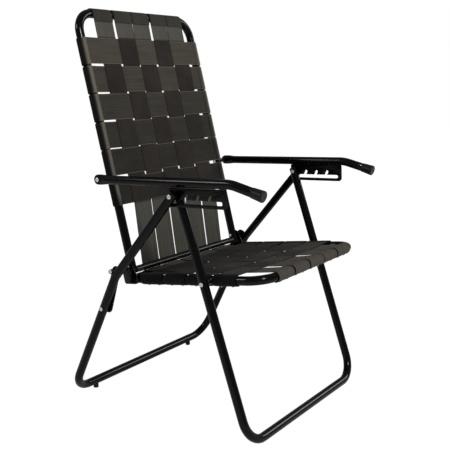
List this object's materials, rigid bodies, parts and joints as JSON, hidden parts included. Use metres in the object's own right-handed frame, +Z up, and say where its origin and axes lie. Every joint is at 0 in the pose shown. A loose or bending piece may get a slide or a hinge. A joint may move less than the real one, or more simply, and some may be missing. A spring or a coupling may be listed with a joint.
{
  "type": "folding webbed lawn chair",
  "caption": "Folding lawn chair of bent steel tube with a woven webbing seat and back; it folds flat and reclines by its notched arm plates.",
  "frame": {"origin": "centre of the bounding box at floor level, chair open and upright", "axes": "+Z up, -Y the way the sitter faces, +X to the left of the sitter"},
  "size_m": [0.6018, 0.6068, 1.0128],
  "materials": {
    "tube_frame": "gloss black powder coat",
    "webbing_cross": "ribbed woven webbing",
    "webbing_long": "ribbed woven webbing",
    "rivets": "bright zinc",
    "glides": "matte",
    "arm_caps": "satin"
  },
  "bodies": {
    "back_hinge": {"back_hinge_rivet_left": "rivets", "back_hinge_rivet_right": "rivets"},
    "seat": {"seat_frame": "tube_frame", "seat_rear_bar": "tube_frame", "hinge_bracket_left": "tube_frame", "hinge_bracket_right": "tube_frame", "fold_stub_left": "tube_frame", "fold_stub_right": "tube_frame", "seat_strap_long_1": "webbing_long", "seat_strap_long_2": "webbing_long", "seat_strap_long_3": "webbing_long", "seat_strap_long_4": "webbing_long", "seat_strap_long_5": "webbing_long", "seat_strap_cross_1": "webbing_cross", "seat_strap_cross_2": "webbing_cross", "seat_strap_cross_3": "webbing_cross", "seat_strap_cross_4": "webbing_cross"},
    "front_legs": {"front_leg_frame": "tube_frame", "seat_pivot_spacer_left": "tube_frame", "seat_pivot_spacer_right": "tube_frame", "seat_pivot_rivet_left": "rivets", "seat_pivot_rivet_right": "rivets", "notch_pin_inner_left": "rivets", "notch_pin_inner_right": "rivets"},
    "rear_legs": {"rear_leg_frame": "tube_frame", "notch_pin_outer_left": "rivets", "notch_pin_outer_right": "rivets", "link_lower_rivet_left": "rivets", "link_lower_rivet_right": "rivets", "rear_glide_left": "glides", "rear_glide_right": "glides"},
    "links": {"fold_link_left": "tube_frame", "fold_link_right": "tube_frame", "stop_stud_left": "tube_frame", "stop_stud_right": "tube_frame", "stop_stud_rivet_left": "rivets", "stop_stud_rivet_right": "rivets"},
    "back": {"back_frame": "tube_frame", "back_bottom_bar": "tube_frame", "arm_spacer_left": "tube_frame", "arm_spacer_right": "tube_frame", "back_strap_long_1": "webbing_long", "back_strap_long_2": "webbing_long", "back_strap_long_3": "webbing_long", "back_strap_long_4": "webbing_long", "back_strap_long_5": "webbing_long", "back_strap_cross_1": "webbing_cross", "back_strap_cross_2": "webbing_cross", "back_strap_cross_3": "webbing_cross", "back_strap_cross_4": "webbing_cross", "back_strap_cross_5": "webbing_cross", "back_strap_cross_6": "webbing_cross"},
    "arm_pivots": {"arm_pivot_rivet_left": "rivets", "arm_pivot_rivet_right": "rivets"},
    "arms": {"armrest_left": "tube_frame", "armrest_right": "tube_frame", "arm_end_cap_left": "arm_caps", "arm_end_cap_right": "arm_caps", "notch_plate_left": "tube_frame", "notch_plate_right": "tube_frame"}
  },
  "joints": [
    {"name": "fold", "type": "hinge", "parent": "seat", "child": "front_legs", "pos_m": [0, -0.13384, 0.37649], "axis": [1, 0, 0], "range_deg": [0, 104]},
    {"name": "rear_leg_pivot", "type": "hinge", "parent": "front_legs", "child": "rear_legs", "pos_m": [0, -0.06284, 0.5772], "axis": [1, 0, 0], "range_deg": [-58, 0]},
    {"name": "link_pivot", "type": "hinge", "parent": "rear_legs", "child": "links", "pos_m": [0, 0.1632, 0.2711], "axis": [1, 0, 0], "range_deg": [-139.8, 0]},
    {"name": "seat_fold", "type": "hinge", "parent": "back_hinge", "child": "seat", "pos_m": [0, 0.12365, 0.37599], "axis": [-1, 0, 0], "range_deg": [0, 97]},
    {"name": "recline", "type": "hinge", "parent": "back_hinge", "child": "back", "pos_m": [0, 0.12365, 0.37599], "axis": [-1, 0, 0], "range_deg": [0, 28.66]},
    {"name": "arm_recline", "type": "hinge", "parent": "back_hinge", "child": "arm_pivots", "pos_m": [0, -0.14818, -0.10741], "axis": [1, 0, 0], "range_deg": [-8.28, 0]},
    {"name": "arm_fold", "type": "hinge", "parent": "arm_pivots", "child": "arms", "pos_m": [0, 0.18227, 0.59446], "axis": [1, 0, 0], "range_deg": [-98.4, 0]}
  ],
  "couplings": [
    {"joint": "rear_leg_pivot", "follows": "fold", "ratio": -0.5573},
    {"joint": "link_pivot", "follows": "fold", "ratio": -1.3433},
    {"joint": "seat_fold", "follows": "fold", "ratio": 0.9316},
    {"joint": "arm_recline", "follows": "recline", "ratio": -0.2888},
    {"joint": "arm_fold", "follows": "fold", "ratio": -0.9454}
  ]
}
